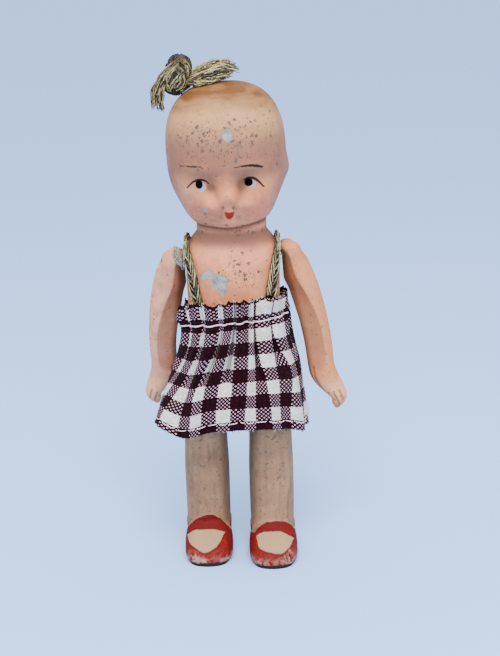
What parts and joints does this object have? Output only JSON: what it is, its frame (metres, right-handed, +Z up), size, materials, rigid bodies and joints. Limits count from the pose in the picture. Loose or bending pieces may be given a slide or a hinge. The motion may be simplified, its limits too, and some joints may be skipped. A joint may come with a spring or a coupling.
{
  "type": "bisque doll",
  "caption": "Standing painted-bisque child doll with strung, turning arms and legs, moulded bar shoes, a gathered check skirt on braided straps and a knotted cord bow.",
  "frame": {"origin": "middle of the doll's bounding box, on the floor under its soles", "axes": "+Z up from the soles to the crown, -Y the way the doll faces, +X the doll's left side"},
  "size_m": [0.049, 0.0304, 0.1195],
  "materials": {
    "painted_bisque": "matt unglazed bisque, cold painted in flesh tint, worn",
    "white_elastic": "cotton-covered elastic cord",
    "check_cotton": "plain-weave check cotton",
    "pink_thread": "cotton sewing thread",
    "braided_cord": "tarnished braided cord"
  },
  "bodies": {
    "body": {"head_and_torso": "painted_bisque", "arm_elastic": "white_elastic", "leg_elastic": "white_elastic", "skirt": "check_cotton", "waist_thread": "pink_thread", "hem_thread": "pink_thread", "left_strap": "braided_cord", "right_strap": "braided_cord", "hair_bow_knot": "braided_cord", "hair_bow_left_tail": "braided_cord", "hair_bow_right_tail": "braided_cord"},
    "left_arm": {"left_arm": "painted_bisque"},
    "right_arm": {"right_arm": "painted_bisque"},
    "left_leg": {"left_leg": "painted_bisque"},
    "right_leg": {"right_leg": "painted_bisque"}
  },
  "joints": [
    {"name": "left_shoulder", "type": "hinge", "parent": "body", "child": "left_arm", "pos_m": [0.00963, -0.00016, 0.0744], "axis": [-0.9981, 0, -0.061], "range_deg": [-90, 140]},
    {"name": "right_shoulder", "type": "hinge", "parent": "body", "child": "right_arm", "pos_m": [-0.01407, -0.00016, 0.0732], "axis": [-0.9981, 0.0158, -0.059], "range_deg": [-75, 155], "deforming": ["skirt", "hem_thread"]},
    {"name": "left_hip", "type": "hinge", "parent": "body", "child": "left_leg", "pos_m": [0.00598, -0.00016, 0.041], "axis": [-1, 0, 0], "range_deg": [-17, 88], "deforming": ["skirt", "hem_thread"]},
    {"name": "right_hip", "type": "hinge", "parent": "body", "child": "right_leg", "pos_m": [-0.00972, -0.00016, 0.041], "axis": [-1, 0, 0], "range_deg": [-14, 91], "deforming": ["skirt", "hem_thread"]}
  ]
}
